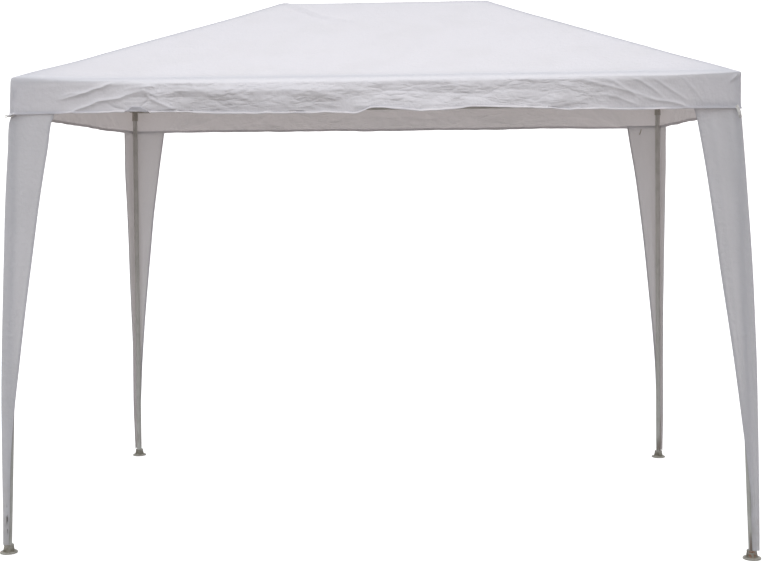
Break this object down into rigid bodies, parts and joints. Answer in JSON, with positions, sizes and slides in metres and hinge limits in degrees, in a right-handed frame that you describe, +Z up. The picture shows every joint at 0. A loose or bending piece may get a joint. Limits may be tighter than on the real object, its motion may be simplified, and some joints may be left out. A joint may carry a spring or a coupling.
{
  "type": "garden canopy tent",
  "caption": "Open garden canopy: a plug-together frame of round steel tubes under a white hipped cloth canopy, with a valance and a tapering cloth cover round each leg.",
  "frame": {"origin": "on the ground below the middle of the ridge", "axes": "+X to the right along the ridge, -Y towards the front, +Z up"},
  "size_m": [3.206, 2.026, 2.4399],
  "materials": {
    "canopy_cloth": "white woven polyethylene sheet, matte",
    "tube_steel": "grey powder coat, satin, worn near the feet",
    "fitting_plastic": "moulded, matte dark",
    "foot_plastic": "moulded, grey, soiled"
  },
  "bodies": {
    "root": {"front_left_foot": "foot_plastic", "front_right_foot": "foot_plastic", "back_left_foot": "foot_plastic", "back_right_foot": "foot_plastic", "front_left_leg_lower": "tube_steel", "front_left_leg_upper": "tube_steel", "front_right_leg_lower": "tube_steel", "front_right_leg_upper": "tube_steel", "back_left_leg_lower": "tube_steel", "back_left_leg_upper": "tube_steel", "back_right_leg_lower": "tube_steel", "back_right_leg_upper": "tube_steel", "front_left_corner_fitting": "fitting_plastic", "front_right_corner_fitting": "fitting_plastic", "back_left_corner_fitting": "fitting_plastic", "back_right_corner_fitting": "fitting_plastic", "left_ridge_fitting": "fitting_plastic", "right_ridge_fitting": "fitting_plastic", "front_eave_tube_left": "tube_steel", "front_eave_tube_right": "tube_steel", "back_eave_tube_left": "tube_steel", "back_eave_tube_right": "tube_steel", "left_eave_tube_front": "tube_steel", "left_eave_tube_back": "tube_steel", "right_eave_tube_front": "tube_steel", "right_eave_tube_back": "tube_steel", "ridge_tube": "tube_steel", "front_left_hip_tube": "tube_steel", "front_right_hip_tube": "tube_steel", "back_left_hip_tube": "tube_steel", "back_right_hip_tube": "tube_steel", "front_roof_panel": "canopy_cloth", "back_roof_panel": "canopy_cloth", "left_roof_panel": "canopy_cloth", "right_roof_panel": "canopy_cloth", "front_valance": "canopy_cloth", "back_valance": "canopy_cloth", "left_valance": "canopy_cloth", "right_valance": "canopy_cloth", "front_left_leg_cover": "canopy_cloth", "front_right_leg_cover": "canopy_cloth", "back_left_leg_cover": "canopy_cloth", "back_right_leg_cover": "canopy_cloth"}
  },
  "joints": []
}
